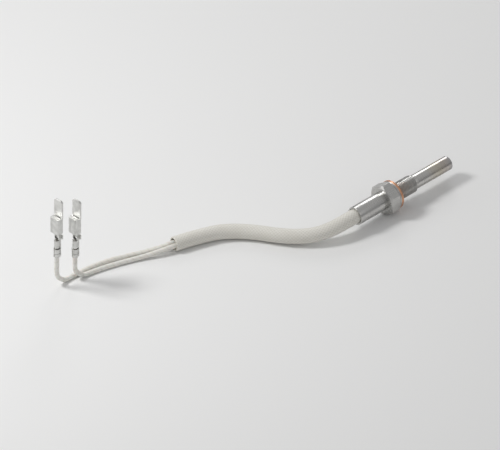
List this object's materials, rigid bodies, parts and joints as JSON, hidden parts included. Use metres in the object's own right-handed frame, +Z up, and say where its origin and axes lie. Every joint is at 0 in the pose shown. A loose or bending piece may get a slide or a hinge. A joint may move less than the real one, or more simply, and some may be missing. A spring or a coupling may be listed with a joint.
{
  "type": "flame sensor probe",
  "caption": "Screw-in flame sensor probe: closed steel tip, hexagon with sealing ring, rear barrel, sleeved two-wire lead with upright tab terminals.",
  "frame": {"origin": "on the probe's axis, in the plane of the sealing ring's outer face, where the exposed thread starts", "axes": "+X along the probe's axis towards its hot tip, +Z up from the surface that the probe lies on"},
  "size_m": [0.1804, 0.0708, 0.0457],
  "materials": {
    "steel_body": "turned stainless steel, satin",
    "steel_sheath": "drawn stainless tube, fine polish",
    "steel_washer": "stamped stainless, satin",
    "steel_barrel": "turned stainless steel, satin",
    "copper": "annealed copper, dull",
    "ceramic": "unglazed alumina",
    "ceramic_chip": "polished alumina",
    "element_wire": "bare nickel wire",
    "bead_glass": "glass bead",
    "tip_cement": "ceramic cement, matt",
    "seal_glass": "sealing glass",
    "splice_metal": "nickel plated",
    "splice_tube": "fluoropolymer tube",
    "potting": "cast resin, matt",
    "sleeve": "braided glass fibre, silicone varnished, semi-matt",
    "lead_jacket": "fluoropolymer insulation, satin",
    "conductor": "nickel plated strands",
    "terminal_tin": "tin plated, satin"
  },
  "bodies": {
    "probe": {"sensor_body": "steel_body", "probe_sheath": "steel_sheath", "rear_barrel": "steel_barrel", "ceramic_insulator": "ceramic", "sensing_chip": "ceramic_chip", "element_lead_a": "element_wire", "element_lead_b": "element_wire", "chip_bead": "bead_glass", "tip_fill": "tip_cement", "neck_seal": "seal_glass", "splice_ferrule_a": "splice_metal", "splice_ferrule_b": "splice_metal", "splice_tube_a": "splice_tube", "splice_tube_b": "splice_tube", "barrel_potting": "potting", "outer_sleeve": "sleeve", "lead_a_jacket": "lead_jacket", "lead_b_jacket": "lead_jacket", "lead_a_conductor": "conductor", "lead_b_conductor": "conductor", "terminal_a": "terminal_tin", "terminal_b": "terminal_tin"},
    "washer": {"flat_washer": "steel_washer"},
    "seal": {"seal_washer": "copper"}
  },
  "joints": [
    {"name": "washer_slide", "type": "slide", "parent": "probe", "child": "washer", "axis": [1, 0, 0], "range_m": [0, 0.037]},
    {"name": "seal_slide", "type": "slide", "parent": "washer", "child": "seal", "axis": [1, 0, 0], "range_m": [0, 0.037]}
  ]
}
